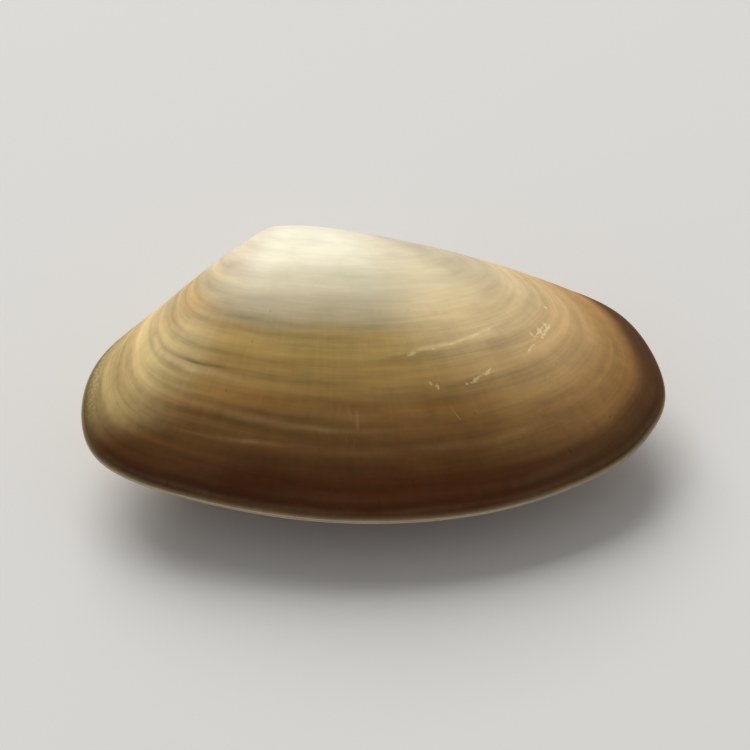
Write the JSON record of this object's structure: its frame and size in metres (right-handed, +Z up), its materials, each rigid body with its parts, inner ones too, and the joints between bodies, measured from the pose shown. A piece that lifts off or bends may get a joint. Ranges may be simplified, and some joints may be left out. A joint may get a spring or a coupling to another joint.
{
  "type": "wedge clam shell",
  "caption": "Closed wedge-shaped clam shell: long smooth valves with fine growth rings, tied behind the beaks by a short brown ligament.",
  "frame": {"origin": "middle of the closed shell's box, on the surface it lies on", "axes": "+X to the long rounded front end, +Y to the hinge side with the beaks and ligament, +Z up, towards the right valve"},
  "size_m": [0.0548, 0.0306, 0.0174],
  "materials": {
    "right_valve_shell": "satin, fine growth rings, olive tan with a cream beak",
    "left_valve_shell": "satin, fine growth rings, olive tan with a cream beak",
    "ligament_horn": "dull brown horn, fibrous along its length"
  },
  "bodies": {
    "root": {"right_valve": "right_valve_shell", "left_valve": "left_valve_shell", "ligament": "ligament_horn"}
  },
  "joints": []
}
